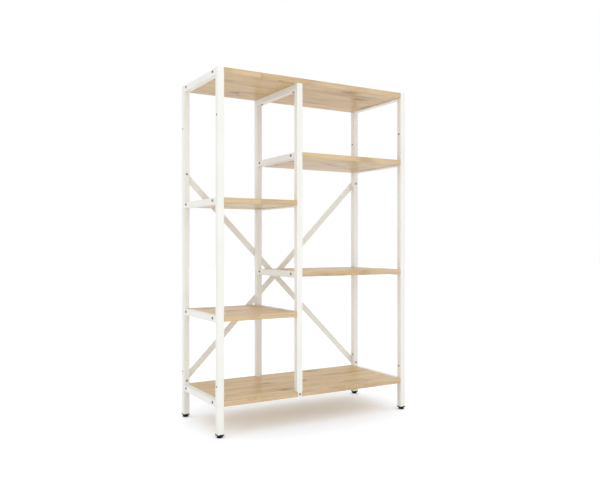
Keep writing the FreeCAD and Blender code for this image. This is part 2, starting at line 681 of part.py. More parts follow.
def falling_brace(label):
    """The bar from the left top end down to the right."""
    half_span, thickness = value("dim.brace_span / 2"), value("dim.brace_thickness")
    radius = value("dim.brace_width / 2")
    bend_start = half_span - value("dim.brace_end_flat")
    bend_end = value("dim.brace_middle_flat")
    run = bend_start - bend_end
    arc_radius = (run * run + thickness * thickness) / (4 * thickness)
    join_angle = math.asin(run / (2 * arc_radius))

    def face_line(depth):
        """Points of one face on the left half, from the bar's end to its middle."""
        outer, inner = arc_radius - depth, arc_radius + depth
        points = [FreeCAD.Vector(-half_span - radius, depth, 0)]
        for part_angle in (0, join_angle / 2, join_angle):
            sideways = outer * math.sin(part_angle)
            points.append(FreeCAD.Vector(sideways - bend_start, arc_radius - outer * math.cos(part_angle), 0))
        for part_angle in (join_angle / 2, 0):
            sideways = inner * math.sin(part_angle)
            rise = thickness - arc_radius + inner * math.cos(part_angle)
            points.append(FreeCAD.Vector(-bend_end - sideways, rise, 0))
        return points

    def face_edges(depth):
        """The whole face line, left half and mirrored right half, as edges."""
        left = face_line(depth)
        right = [FreeCAD.Vector(-point.x, point.y, 0) for point in reversed(left)]
        edges = [Part.makeLine(left[0], left[1])]
        edges += [Part.Arc(*left[1:4]).toShape(), Part.Arc(*left[3:6]).toShape()]
        edges += [Part.makeLine(left[5], right[0])]
        edges += [Part.Arc(*right[0:3]).toShape(), Part.Arc(*right[2:5]).toShape()]
        edges += [Part.makeLine(right[4], right[5])]
        return edges, left[0], right[5]

    near_edges, near_left, near_right = face_edges(0)
    far_edges, far_left, far_right = face_edges(thickness)
    ends = [Part.makeLine(near_left, far_left), Part.makeLine(near_right, far_right)]
    side = Part.Face(Part.Wire(Part.__sortEdges__(near_edges + far_edges + ends)))
    side.translate(FreeCAD.Vector(0, 0, -radius))
    bar = side.extrude(FreeCAD.Vector(0, 0, 2 * radius))
    through = FreeCAD.Vector(0, 1, 0)
    front = -thickness
    drop = 4 * thickness
    body_of_bar = Part.makeBox(2 * half_span, drop, 2 * radius, FreeCAD.Vector(-half_span, front, -radius))
    for sign in (-1, 1):
        end = FreeCAD.Vector(sign * half_span, front, 0)
        body_of_bar = body_of_bar.fuse(Part.makeCylinder(radius, drop, end, through))
    bar = bar.common(body_of_bar.removeSplitter())
    hole = value("dim.bolt_shank + dim.hole_clearance") / 2
    for across in (-half_span, 0, half_span):
        bar = bar.cut(Part.makeCylinder(hole, drop, FreeCAD.Vector(across, front, 0), through))
    feature = doc.addObject("Part::Feature", label)
    feature.Label = label
    feature.Shape = bar.Solids[0]
    placed(feature, "0", "dim.back_y", "dim.brace_middle", axis=(0, 1, 0))
    feature.setExpression("Placement.Rotation.Angle", "dim.brace_slope")
    parts.append(feature)
    doc.recompute()


falling_brace("brace_falling")


# Every piece is checked before it is written out

doc.recompute()
for item in doc.Objects:
    trouble = {"Invalid", "Error"} & set(item.State)
    if trouble:
        raise ValueError(f"{item.Label}: {sorted(trouble)}")
os.makedirs("parts", exist_ok=True)
for part in parts:
    shape = part.Shape
    if shape.isNull() or not shape.isValid() or shape.Volume <= 0:
        raise ValueError(f"{part.Label} is not a sound solid")
    shape.exportStep(f"parts/{part.Label}.step")
    box = shape.BoundBox
    print(part.Label, len(shape.Solids), "solids,", *map(round, (box.XLength, box.YLength, box.ZLength)), "mm")
print(len(parts), "pieces")
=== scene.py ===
# %% [markdown]
# # An open shelving unit of white steel and oak boards
# The steel frames, boards, screws and glides come from the construction model, already in place and at
# real size. This lesson gives each of them the finish that it has on the real object, adds the small weld
# beads where the rungs meet the posts, and sets up a plain studio. All lengths are in metres.

import json
import math

import bmesh
import bpy
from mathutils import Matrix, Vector


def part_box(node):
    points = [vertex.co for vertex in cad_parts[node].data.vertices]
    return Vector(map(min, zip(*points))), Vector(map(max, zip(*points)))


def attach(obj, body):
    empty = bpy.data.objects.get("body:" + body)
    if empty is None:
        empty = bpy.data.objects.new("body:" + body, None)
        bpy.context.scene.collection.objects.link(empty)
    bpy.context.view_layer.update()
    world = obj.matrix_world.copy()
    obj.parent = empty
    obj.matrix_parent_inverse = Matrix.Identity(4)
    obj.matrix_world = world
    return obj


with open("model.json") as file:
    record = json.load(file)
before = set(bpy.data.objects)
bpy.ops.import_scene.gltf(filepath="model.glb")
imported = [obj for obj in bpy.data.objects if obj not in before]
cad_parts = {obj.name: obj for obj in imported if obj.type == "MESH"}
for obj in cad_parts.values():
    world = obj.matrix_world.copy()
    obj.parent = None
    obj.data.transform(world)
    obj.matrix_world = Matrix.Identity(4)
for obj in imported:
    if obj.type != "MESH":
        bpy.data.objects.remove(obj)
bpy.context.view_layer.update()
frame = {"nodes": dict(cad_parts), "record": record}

# %% [markdown]
# ## Helpers for finishes
# A finish is a small web of shader nodes. Writing each node out by hand hides the idea behind it, so a few
# helpers do the wiring. The first adds a node and feeds its sockets, and the next ones use it for the steps
# of arithmetic that come up again and again.

# %% Helpers for one node and one step of arithmetic
def add_node(tree, kind, feeds, **settings):
    """One shader node. Feeds maps a socket's name or number to a value or to another node's output."""
    made = tree.nodes.new("ShaderNode" + kind)
    for name, setting in settings.items():
        setattr(made, name, setting)
    for key, source in feeds.items():
        if isinstance(source, bpy.types.NodeSocket):
            tree.links.new(source, made.inputs[key])
        else:
            made.inputs[key].default_value = source
    return made


def reckon(tree, operation, *values):
    """The output of one arithmetic step on numbers or sockets."""
    return add_node(tree, "Math", dict(enumerate(values)), operation=operation).outputs[0]


def reckon_place(tree, operation, *places):
    """The output of one arithmetic step on places or directions."""
    return add_node(tree, "VectorMath", dict(enumerate(places)), operation=operation).outputs[0]


def product(tree, first, *others):
    """All the values multiplied together."""
    result = first
    for value in others:
        result = reckon(tree, "MULTIPLY", result, value)
    return result


def rest_of(tree, share):
    """What a share leaves of one."""
    return reckon(tree, "SUBTRACT", 1.0, share)


def centred(tree, value):
    """A number between 0 and 1, moved so that it lies evenly about zero."""
    return reckon(tree, "SUBTRACT", value, 0.5)


print("helpers for nodes ready")

# %% [markdown]
# Finishes are read from places: where on the piece a point lies. These helpers take a place apart, put one
# together, and turn it into cloudy noise. Noise that is stretched gives streaks and lines, so one helper
# takes a separate fineness for each direction.

# %% Helpers for places and noise
def object_place(tree):
    """Where the point lies in its own piece, in metres."""
    return add_node(tree, "TexCoord", {}).outputs["Object"]


def true_normal(tree):
    """Which way the surface faces, without any bump."""
    return add_node(tree, "NewGeometry", {}).outputs["Normal"]


def apart(tree, place):
    """The three numbers of a place, a direction or a colour."""
    return add_node(tree, "SeparateXYZ", {0: place}).outputs


def together(tree, first, second, third):
    """One place made from three numbers."""
    return add_node(tree, "CombineXYZ", {0: first, 1: second, 2: third}).outputs[0]


def ramp(tree, source, low, high):
    """0 where the source is below low, 1 where it is above high, and a smooth step between."""
    feeds = {"Value": source, "From Min": low, "From Max": high}
    return add_node(tree, "MapRange", feeds, interpolation_type="SMOOTHSTEP").outputs["Result"]


def noise(tree, place, fineness, detail=3.0, distortion=0.0):
    """Cloudy noise whose lumps are about one over fineness across."""
    feeds = {"Vector": place, "Scale": fineness, "Detail": detail, "Distortion": distortion}
    return add_node(tree, "TexNoise", feeds).outputs[0]


def drawn_noise(tree, place, finenesses, detail, distortion=0.0):
    """Noise with its own fineness in each of the three directions, so that its lumps are drawn out."""
    drawn_place = reckon_place(tree, "MULTIPLY", place, finenesses)
    return noise(tree, drawn_place, fineness=1.0, detail=detail, distortion=distortion)


print("helpers for places ready")

# %% [markdown]
# Colours need two helpers: one lays a colour over another by a share, and one turns the levels that a
# picture program shows into the light values that shaders work with. The Mix node has a set of sockets for
# each kind of data, so its colour sockets are picked by their numbers.

# %% Helpers for colours
MIX_SHARE = 0
MIX_UNDER = 6
MIX_OVER = 7
MIX_RESULT = 2


def blended(tree, under, over, share):
    """One colour laid over another by a share."""
    feeds = {MIX_UNDER: under, MIX_OVER: over, MIX_SHARE: share}
    return add_node(tree, "Mix", feeds, data_type="RGBA").outputs[MIX_RESULT]


def srgb(red, green, blue):
    """A colour given as it looks on screen, 0 to 255, turned into the light values that shaders use."""
    def linear(level):
        share = level / 255
        return share / 12.92 if share <= 0.04045 else ((share + 0.055) / 1.055) ** 2.4
    return (linear(red), linear(green), linear(blue), 1.0)


print("middle grey 188 is light value", round(srgb(188, 188, 188)[0], 3))

# %% [markdown]
# A finish effect, such as a coat or a print, is a node group with named inputs and outputs. It is built
# once and placed in each material that needs it, with that material's own values. Two helpers start such a
# group and place it.

# %% Helpers for shared effects
SOCKET_KINDS = {"colour": "NodeSocketColor", "number": "NodeSocketFloat", "place": "NodeSocketVector"}


def start_effect(name, inputs, outputs):
    """An empty node group with named sockets. Returns its tree, its inputs and its outputs."""
    tree = bpy.data.node_groups.new(name, "ShaderNodeTree")
    for label, kind, usual in inputs:
        socket = tree.interface.new_socket(name=label, in_out="INPUT", socket_type=SOCKET_KINDS[kind])
        socket.default_value = usual
    for label, kind in outputs:
        tree.interface.new_socket(name=label, in_out="OUTPUT", socket_type=SOCKET_KINDS[kind])
    return tree, tree.nodes.new("NodeGroupInput").outputs, tree.nodes.new("NodeGroupOutput").inputs


def use_effect(tree, effect, feeds):
    """Places a shared effect in a material and feeds its inputs."""
    return add_node(tree, "Group", feeds, node_tree=effect).outputs


print("helpers for effects ready")

# %% [markdown]
# ## Effect: edges
# Paint pulls thin on a sharp edge, plastic scuffs there, and the black oxide on a screw head rubs off
# first at its rim. All of these need the same thing: a mask that is bright near an edge. The Bevel node
# gives a normal that starts to turn a little way before the edge; where it leans away from the true
# normal, the point is near an edge. Noise breaks the mask up, so that no line is perfectly even.

# %% Effect: edge mask
EDGE_LEAN = (0.005, 0.16)
EDGE_PATCHES = (0.35, 0.62)


def make_edge_effect():
    tree, given, out = start_effect(
        "near_edge",
        [("Reach", "number", 0.001), ("Patches", "number", 120.0), ("Evenness", "number", 0.5)],
        [("Mask", "number")])
    turned = add_node(tree, "Bevel", {"Radius": given["Reach"]}, samples=4).outputs[0]
    feeds = {0: turned, 1: true_normal(tree)}
    likeness = add_node(tree, "VectorMath", feeds, operation="DOT_PRODUCT").outputs["Value"]
    edge = ramp(tree, rest_of(tree, likeness), *EDGE_LEAN)
    patches = ramp(tree, noise(tree, object_place(tree), given["Patches"]), *EDGE_PATCHES)
    broken = reckon(tree, "MAXIMUM", patches, given["Evenness"])
    tree.links.new(product(tree, edge, broken), out["Mask"])
    return tree


near_edge = make_edge_effect()
print("effect:", near_edge.name)

# %% [markdown]
# ## Effect: powder coat
# Powder coat is plastic dust, sprayed on dry and melted in an oven. It flows out into a skin with a faint
# orange-peel ripple, roughly two millimetres from crest to crest, and a much finer grain on top. The
# colour is never quite even either: it clouds by a percent or two along a tube. The finenesses below are
# lumps in a metre.

# %% Effect: powder coat
COAT_CLOUDS = 9.0
COAT_CLOUD_RANGE = (0.32, 0.7)
COAT_SPECKLES = 900.0
COAT_SPECKLE_RANGE = (0.58, 0.75)
COAT_SPECKLE_SHARE = 0.18
COAT_EDGE_SHARE = 0.55
COAT_RIPPLES = 420.0
COAT_RIPPLE_SWIRL = 0.4
COAT_GRAIN = 2600.0
COAT_GRAIN_HEIGHT = 0.22
COAT_ROUGHNESS = 0.36
CLOUD_ROUGHNESS = 0.1
GRAIN_ROUGHNESS = 0.06


def make_coat_effect():
    tree, given, out = start_effect(
        "powder_coat",
        [("Colour", "colour", (0.8, 0.8, 0.8, 1.0)), ("Cloud Colour", "colour", (0.8, 0.8, 0.8, 1.0)),
         ("Thin Colour", "colour", (0.7, 0.7, 0.7, 1.0)), ("Edge", "number", 0.0)],
        [("Colour", "colour"), ("Roughness", "number"), ("Height", "number")])
    place = object_place(tree)
    clouds = ramp(tree, noise(tree, place, COAT_CLOUDS, detail=4.0), *COAT_CLOUD_RANGE)
    speckle = ramp(tree, noise(tree, place, COAT_SPECKLES, detail=2.0), *COAT_SPECKLE_RANGE)
    colour = blended(tree, given["Colour"], given["Cloud Colour"], clouds)
    colour = blended(tree, colour, given["Thin Colour"], product(tree, speckle, COAT_SPECKLE_SHARE))
    colour = blended(tree, colour, given["Thin Colour"], product(tree, given["Edge"], COAT_EDGE_SHARE))
    tree.links.new(colour, out["Colour"])
    peel = noise(tree, place, COAT_RIPPLES, detail=2.0, distortion=COAT_RIPPLE_SWIRL)
    grain = noise(tree, place, COAT_GRAIN, detail=1.0)
    tree.links.new(reckon(tree, "ADD", peel, product(tree, grain, COAT_GRAIN_HEIGHT)), out["Height"])
    roughness = reckon(tree, "ADD", COAT_ROUGHNESS, product(tree, clouds, CLOUD_ROUGHNESS))
    roughness = reckon(tree, "ADD", roughness, product(tree, grain, GRAIN_ROUGHNESS))
    tree.links.new(roughness, out["Roughness"])
    return tree


powder_coat = make_coat_effect()
print("effect:", powder_coat.name)

# %% [markdown]
# ## Effect: the inside of a tube
# Powder is sprayed from outside and hardly enters a tube, so the bore stays bare steel. Its dark colour is
# partly that bare steel and partly painted shade, the shade that fills a closed tube, so every open hole in a
# post reads as a dark dot. The Ambient Occlusion node finds the bore: from a point inside it nearly every
# direction runs into the same tube within three centimetres, and from outside almost none does. Only the tube
# itself counts, so pieces standing near it don't darken it.

# %% Effect: mask of the bore
def make_bore_effect():
    tree, given, out = start_effect(
        "tube_bore",
        [("Reach", "number", 0.03), ("Closed", "number", 0.4), ("Open", "number", 0.75)],
        [("Outside", "number")])
    # This occlusion mask says where the bore's painted shade, over bare steel, is laid.
    sky = add_node(tree, "AmbientOcclusion", {"Distance": given["Reach"]}, samples=8, only_local=True)
    tree.links.new(ramp(tree, sky.outputs["AO"], given["Closed"], given["Open"]), out["Outside"])
    return tree


tube_bore = make_bore_effect()
print("effect:", tube_bore.name)

# %% [markdown]
# ## Printed oak: the staves
# The boards are pressed wood faced with a printed oak paper. The print shows wide staves laid edge to
# edge. It could be drawn plank by plank, but a rule does it for any board: the width is divided into
# lanes, and each lane into pieces of a stave's length that start at a chance place. The lane, the piece
# and the board's height give every stave its own random numbers. They also shift the place that all the
# later noise is read from, so no two staves repeat.

# %% Printed oak: where the staves lie
BOARD_THICKNESS = 0.016
LANE_SEED = 3.0
PRINT_SPREAD = (7.0, 7.0, 7.0)


def lay_staves(tree, given):
    """The place along the board and across the stave, the stave's random numbers, and its own print place."""
    along, across, upright = apart(tree, given["Place"])
    level = reckon(tree, "FLOOR", product(tree, upright, 1.0 / BOARD_THICKNESS))
    level_chance = add_node(tree, "TexWhiteNoise", {"W": level}, noise_dimensions="1D").outputs["Value"]
    lane = reckon(tree, "ADD", reckon(tree, "DIVIDE", across, given["Stave Width"]), level_chance)
    lane_number = reckon(tree, "FLOOR", lane)
    lane_seed = together(tree, lane_number, level, LANE_SEED)
    shift = add_node(tree, "TexWhiteNoise", {"Vector": lane_seed}, noise_dimensions="3D").outputs["Value"]
    run = reckon(tree, "ADD", reckon(tree, "DIVIDE", along, given["Stave Length"]), shift)
    stave_seed = together(tree, lane_number, level, reckon(tree, "FLOOR", run))
    chances = add_node(tree, "TexWhiteNoise", {"Vector": stave_seed}, noise_dimensions="3D").outputs
    spread = reckon_place(tree, "MULTIPLY", chances["Color"], PRINT_SPREAD)
    place = reckon_place(tree, "ADD", given["Place"], spread)
    return along, centred(tree, reckon(tree, "FRACT", lane)), chances, place


print("one level of boards is", BOARD_THICKNESS, "high")

# %% [markdown]
# ## Printed oak: the knots
# A knot is where a branch grew out of the trunk: a dark core, a brown rim and a cloud of darker wood round
# it. Knots are scattered by a cell pattern, which is stretched because they lie further apart along a stave
# than across it. Each cell's random colour says whether there is a knot in it, how large and how dark. Fine
# noise makes the outline ragged. The grain is pushed aside near a knot, so that it flows round it. The
# ranges below say where each part fades out: the core's and the rim's in knot radii, the others in cells.

# %% Printed oak: knots
KNOTS_ALONG = 6.2
KNOTS_ACROSS = 13.5
KNOT_LUMPS = (90.0, 190.0, 1.0)
LUMP_STRENGTH = 2.8
LUMP_START = -0.4
LEAST_RADIUS = 0.025
EXTRA_RADIUS = 0.085
CORE_RANGE = (0.3, 1.0)
LEAST_CORE = 0.4
RIM_RANGE = (0.9, 2.0)
CLOUD_RANGE = (0.06, 0.8)
PUSH_RANGE = (0.03, 0.4)
KNOT_PUSH = 0.7


def measure_knots(tree, place):
    """The cell that the point lies in, and its distance from the cell's middle with a ragged outline."""
    knot_place = reckon_place(tree, "MULTIPLY", place, (KNOTS_ALONG, KNOTS_ACROSS, 1.0))
    feeds = {"Vector": knot_place, "Scale": 1.0}
    cells = add_node(tree, "TexVoronoi", feeds, voronoi_dimensions="2D").outputs
    lumps = drawn_noise(tree, place, KNOT_LUMPS, detail=4.0)
    ragged = reckon(tree, "MULTIPLY_ADD", lumps, LUMP_STRENGTH, LUMP_START)
    return knot_place, cells, product(tree, cells["Distance"], ragged)


def scatter_knots(tree, given, place):
    """Masks of the knots' cores, rims and clouds, and how far the grain is pushed aside."""
    knot_place, cells, distance = measure_knots(tree, place)
    chance, size, tone = apart(tree, cells["Color"])
    is_knot = reckon(tree, "LESS_THAN", chance, given["Knots"])
    radius = reckon(tree, "MULTIPLY_ADD", size, EXTRA_RADIUS, LEAST_RADIUS)
    radii = reckon(tree, "DIVIDE", distance, radius)
    core = product(tree, rest_of(tree, ramp(tree, radii, *CORE_RANGE)), is_knot)
    core = product(tree, core, reckon(tree, "ADD", LEAST_CORE, tone))
    rim = product(tree, rest_of(tree, ramp(tree, radii, *RIM_RANGE)), is_knot)
    soft_distance = reckon(tree, "ADD", cells["Distance"], distance)
    cloud = product(tree, rest_of(tree, ramp(tree, soft_distance, *CLOUD_RANGE)), is_knot)
    beside = apart(tree, reckon_place(tree, "SUBTRACT", knot_place, cells["Position"]))[1]
    near = product(tree, rest_of(tree, ramp(tree, cells["Distance"], *PUSH_RANGE)), is_knot)
    pushed = product(tree, beside, product(tree, near, -KNOT_PUSH / KNOTS_ACROSS))
    return core, rim, cloud, pushed


print("knot cells are", round(1 / KNOTS_ALONG, 3), "by", round(1 / KNOTS_ACROSS, 3))

# %% [markdown]
# ## Printed oak: the grain
# The grain is long streaks, softer patches, fine lines and very fine pores. All four are the same noise,
# drawn out by a different amount along the board: the numbers are lumps in a metre along, across and
# upright. They are read from a place that wanders a little from side to side and that the knots push
# aside, so that they bend together as real wood does.

# %% Printed oak: grain
BEND_LUMPS = (2.6, 9.0, 9.0)
BEND_WIDTH = 0.05
STREAK_LUMPS = (3.0, 30.0, 30.0)
STREAK_SWIRL = 0.3
PATCH_LUMPS = (8.0, 21.0, 21.0)
LINE_LUMPS = (4.0, 190.0, 190.0)
LINE_SWIRL = 0.2
PORE_LUMPS = (55.0, 1500.0, 1500.0)


def flow_grain(tree, place, pushed):
    """How far the grain is bent to the side, and its layers of noise by name."""
    bend = drawn_noise(tree, place, BEND_LUMPS, detail=2.0)
    bent = reckon(tree, "ADD", product(tree, centred(tree, bend), BEND_WIDTH), pushed)
    flow = reckon_place(tree, "ADD", place, together(tree, 0.0, bent, 0.0))
    layers = {
        "streaks": drawn_noise(tree, flow, STREAK_LUMPS, detail=4.0, distortion=STREAK_SWIRL),
        "patches": drawn_noise(tree, flow, PATCH_LUMPS, detail=2.0),
        "lines": drawn_noise(tree, flow, LINE_LUMPS, detail=3.0, distortion=LINE_SWIRL),
        "pores": drawn_noise(tree, flow, PORE_LUMPS, detail=2.0),
    }
    return bent, layers


print("pores are about", round(1000 / PORE_LUMPS[0]), "mm long")

# %% [markdown]
# ## Printed oak: the growth rings
# The rings come from how a log is sawn. Every stave gets its own place and tilt against the heart of its
# tree. A point's ring then follows from its distance to the heart, and where the board cuts the rings at
# a shallow angle they open into long arches by themselves. Late wood is a thin dark line in each ring. A
# wave that rises and falls once a ring gives it, raised to a power so that only its crest stays dark.

# %% Printed oak: growth rings
RING_SPACING = 0.0032
RING_WAVER = 0.5
RING_THINNESS = 3.0
HEART_ASIDE = 0.11
HEART_TILT = 0.11
HEART_DEPTH = 0.05


def cut_rings(tree, given, along, lane_place, chances, bent, lines):
    """The dark lines of the growth rings, as the saw cut them."""
    heart_aside, heart_tilt, heart_depth = apart(tree, chances["Color"])
    aside = reckon(tree, "ADD", product(tree, lane_place, given["Stave Width"]), bent)
    aside = reckon(tree, "ADD", aside, product(tree, centred(tree, heart_aside), HEART_ASIDE))
    tilt = product(tree, centred(tree, heart_tilt), HEART_TILT)
    depth = reckon(tree, "ADD", product(tree, along, tilt), product(tree, heart_depth, HEART_DEPTH))
    from_heart = together(tree, aside, depth, 0.0)
    distance = add_node(tree, "VectorMath", {0: from_heart}, operation="LENGTH").outputs["Value"]
    ring = reckon(tree, "MULTIPLY_ADD", lines, RING_WAVER, reckon(tree, "DIVIDE", distance, RING_SPACING))
    late_wood = product(tree, reckon(tree, "PINGPONG", ring, 0.5), 2.0)
    return reckon(tree, "POWER", late_wood, RING_THINNESS)


print("rings are", RING_SPACING * 1000, "mm apart")

# %% [markdown]
# ## Effect: printed oak
# Now the print is inked, as on a press: each feature lays one of three inks over the pale paper, by its
# own share. A range says at which noise the ink starts and where it is full. The faces and the edge band
# both use this effect. The foil over the print is pressed in a little at the pores and duller there.

# %% Effect: printed oak
INK_RANGES = {
    "streaks": (0.32, 0.66), "dark streaks": (0.58, 0.8), "patches": (0.5, 0.78), "lines": (0.5, 0.74),
    "pores": (0.6, 0.72),
}
INK_SHARES = {
    "patches": 0.45, "rings": 0.23, "lines": 0.36, "dark streaks": 0.8, "tone": 0.45, "clouds": 0.5,
    "pores": 0.3, "joints": 0.35, "rims": 0.5, "cores": 0.88,
}
JOINT_PLACE = 0.494
PORE_DIP = 0.7
LINE_DIP = 0.3
FOIL_ROUGHNESS = 0.325
DIP_ROUGHNESS = 0.12


def start_oak_effect():
    """The empty group. A material gives it a place to read, its staves' size, a paper and three inks."""
    return start_effect(
        "printed_oak",
        [("Place", "place", (0.0, 0.0, 0.0)),
         ("Stave Width", "number", 0.075), ("Stave Length", "number", 0.9),
         ("Pale", "colour", (0.6, 0.45, 0.3, 1.0)), ("Honey", "colour", (0.5, 0.35, 0.2, 1.0)),
         ("Brown", "colour", (0.3, 0.2, 0.1, 1.0)), ("Knot", "colour", (0.15, 0.09, 0.05, 1.0)),
         ("Stave Contrast", "number", 1.0), ("Knots", "number", 0.44)],
        [("Colour", "colour"), ("Roughness", "number"), ("Height", "number")])


def inked(tree, layer, feature):
    """How much of its ink a noise takes: a smooth step over the layer's range, times its share."""
    return product(tree, ramp(tree, feature, *INK_RANGES[layer]), INK_SHARES[layer])


def make_oak_effect():
    tree, given, out = start_oak_effect()
    along, lane_place, chances, place = lay_staves(tree, given)
    core, rim, cloud, pushed = scatter_knots(tree, given, place)
    bent, grain = flow_grain(tree, place, pushed)
    rings = cut_rings(tree, given, along, lane_place, chances, bent, grain["lines"])
    pores = ramp(tree, grain["pores"], *INK_RANGES["pores"])
    joint = reckon(tree, "GREATER_THAN", reckon(tree, "ABSOLUTE", lane_place), JOINT_PLACE)
    contrast = given["Stave Contrast"]
    inks = (
        ("Honey", ramp(tree, grain["streaks"], *INK_RANGES["streaks"])),
        ("Brown", inked(tree, "patches", grain["patches"])),
        ("Brown", product(tree, rings, INK_SHARES["rings"])),
        ("Brown", inked(tree, "lines", grain["lines"])),
        ("Brown", inked(tree, "dark streaks", grain["streaks"])),
        ("Honey", product(tree, chances["Value"], contrast, INK_SHARES["tone"])),
        ("Brown", product(tree, cloud, INK_SHARES["clouds"])),
        ("Brown", product(tree, pores, INK_SHARES["pores"])),
        ("Brown", product(tree, joint, product(tree, contrast, INK_SHARES["joints"]))),
        ("Brown", product(tree, rim, INK_SHARES["rims"])),
        ("Knot", reckon(tree, "MINIMUM", core, INK_SHARES["cores"])),
    )
    colour = given["Pale"]
    for ink, share in inks:
        colour = blended(tree, colour, given[ink], share)
    tree.links.new(colour, out["Colour"])
    dip = reckon(tree, "ADD", product(tree, pores, PORE_DIP), product(tree, grain["lines"], LINE_DIP))
    tree.links.new(rest_of(tree, dip), out["Height"])
    tree.links.new(reckon(tree, "MULTIPLY_ADD", dip, DIP_ROUGHNESS, FOIL_ROUGHNESS), out["Roughness"])
    return tree


printed_oak = make_oak_effect()
print("effect:", printed_oak.name, "with", len(printed_oak.nodes), "nodes")

# %% [markdown]
# ## Effect: moulded grain
# The glides and caps are injection-moulded. The mould is spark-eroded, which leaves an even, very fine
# pebble on the plastic. The same group serves black and white plastic, with a scuff colour near edges.

# %% Effect: moulded grain
MOULD_PEBBLES = 2400.0
MOULD_CLOUDS = 60.0
MOULD_CLOUD_SHARE = 0.16
SCUFF_LUMPS = (140.0, 140.0, 700.0)
SCUFF_RANGE = (0.6, 0.75)
LOOSE_SCUFF_SHARE = 0.35
SCUFF_SHARE = 0.6
MOULD_ROUGHNESS = 0.42
MOULD_CLOUD_ROUGHNESS = 0.22


def make_moulded_effect():
    tree, given, out = start_effect(
        "moulded_grain",
        [("Colour", "colour", (0.5, 0.5, 0.5, 1.0)), ("Scuff Colour", "colour", (0.6, 0.6, 0.6, 1.0)),
         ("Edge", "number", 0.0)],
        [("Colour", "colour"), ("Roughness", "number"), ("Height", "number")])
    place = object_place(tree)
    pebble = add_node(tree, "TexVoronoi", {"Vector": place, "Scale": MOULD_PEBBLES}).outputs["Distance"]
    clouds = noise(tree, place, MOULD_CLOUDS, detail=4.0)
    scuffs = ramp(tree, drawn_noise(tree, place, SCUFF_LUMPS, detail=3.0), *SCUFF_RANGE)
    scuffed = reckon(tree, "MAXIMUM", given["Edge"], product(tree, scuffs, LOOSE_SCUFF_SHARE))
    colour = blended(tree, given["Colour"], given["Scuff Colour"], product(tree, clouds, MOULD_CLOUD_SHARE))
    colour = blended(tree, colour, given["Scuff Colour"], product(tree, scuffed, SCUFF_SHARE))
    tree.links.new(colour, out["Colour"])
    tree.links.new(pebble, out["Height"])
    roughness = reckon(tree, "ADD", MOULD_ROUGHNESS, product(tree, clouds, MOULD_CLOUD_ROUGHNESS))
    tree.links.new(roughness, out["Roughness"])
    return tree


moulded_grain = make_moulded_effect()
print("effect:", moulded_grain.name)

# %% [markdown]
# ## Effect: plated or oxidised steel
# Screws and bolts have a dark skin, the nuts are zinc plated. Both finishes are a thin layer over turned
# steel: it clouds into lighter and darker patches and shows fine turning marks. A second colour, bare or
# polished metal, comes through at the edges.

# %% Effect: thin metal skin
SKIN_PATCHES = 380.0
SKIN_PATCH_RANGE = (0.4, 0.62)
SCRATCH_LUMPS = (900.0, 900.0, 5200.0)
SCRATCH_RANGE = (0.62, 0.72)
SCRATCH_SHARE = 0.3
SKIN_GRAIN = 3200.0
PATCH_ROUGHNESS = 0.12
WORN_POLISH = 0.08


def make_metal_effect():
    tree, given, out = start_effect(
        "thin_metal_skin",
        [("Colour", "colour", (0.3, 0.3, 0.3, 1.0)), ("Patch Colour", "colour", (0.25, 0.25, 0.25, 1.0)),
         ("Bare Colour", "colour", (0.6, 0.6, 0.6, 1.0)), ("Edge", "number", 0.0),
         ("Dullness", "number", 0.35)],
        [("Colour", "colour"), ("Roughness", "number"), ("Height", "number")])
    place = object_place(tree)
    patches = ramp(tree, noise(tree, place, SKIN_PATCHES, detail=4.0), *SKIN_PATCH_RANGE)
    scratches = ramp(tree, drawn_noise(tree, place, SCRATCH_LUMPS, detail=2.0), *SCRATCH_RANGE)
    worn = reckon(tree, "MAXIMUM", given["Edge"], product(tree, scratches, SCRATCH_SHARE))
    colour = blended(tree, given["Colour"], given["Patch Colour"], patches)
    colour = blended(tree, colour, given["Bare Colour"], worn)
    tree.links.new(colour, out["Colour"])
    tree.links.new(noise(tree, place, SKIN_GRAIN, detail=2.0), out["Height"])
    dull = reckon(tree, "ADD", given["Dullness"], product(tree, patches, PATCH_ROUGHNESS))
    tree.links.new(reckon(tree, "SUBTRACT", dull, product(tree, worn, WORN_POLISH)), out["Roughness"])
    return tree


thin_metal_skin = make_metal_effect()
print("effect:", thin_metal_skin.name)

# %% [markdown]
# ## From effect to material
# Every material here is one Principled shader with a colour, a roughness and a bump that change over the
# surface. The effect gives the three; this step wires them in. The bump's depth is a real one: a few
# hundredths of a millimetre for paint and less for plastic.

# %% Helpers that finish a material
def new_material(name):
    """A fresh material. Returns it with its tree and its Principled shader."""
    material = bpy.data.materials.new(name)
    material.use_nodes = True
    tree = material.node_tree
    return material, tree, next(item for item in tree.nodes if item.type == "BSDF_PRINCIPLED")


def wire_surface(tree, shader, surface, bump_depth, bump_strength):
    """Feeds the shader from an effect's colour, roughness and height."""
    tree.links.new(surface["Colour"], shader.inputs["Base Color"])
    tree.links.new(surface["Roughness"], shader.inputs["Roughness"])
    feeds = {"Height": surface["Height"], "Distance": bump_depth, "Strength": bump_strength}
    tree.links.new(add_node(tree, "Bump", feeds).outputs["Normal"], shader.inputs["Normal"])


def edge_mask(tree, reach, patches, evenness):
    """The shared edge effect with this material's own reach, patches in a metre, and evenness."""
    return use_effect(tree, near_edge, {"Reach": reach, "Patches": patches, "Evenness": evenness})["Mask"]


print("helpers for materials ready")

# %% [markdown]
# ## White powder-coated steel
# Posts and rungs are warm white with a satin shine. The brace bars have the same coat, a hair cooler, so
# both come from one function with their own colours.

# %% Materials: coated steel
# The bore's colour: partly bare steel, partly painted shade of the tube's enclosed inside.
BORE_STEEL_AND_SHADE = srgb(52, 50, 50)
COAT_SHINE = 0.45
CLEAR_LAYER = 0.12
CLEAR_LAYER_ROUGHNESS = 0.3


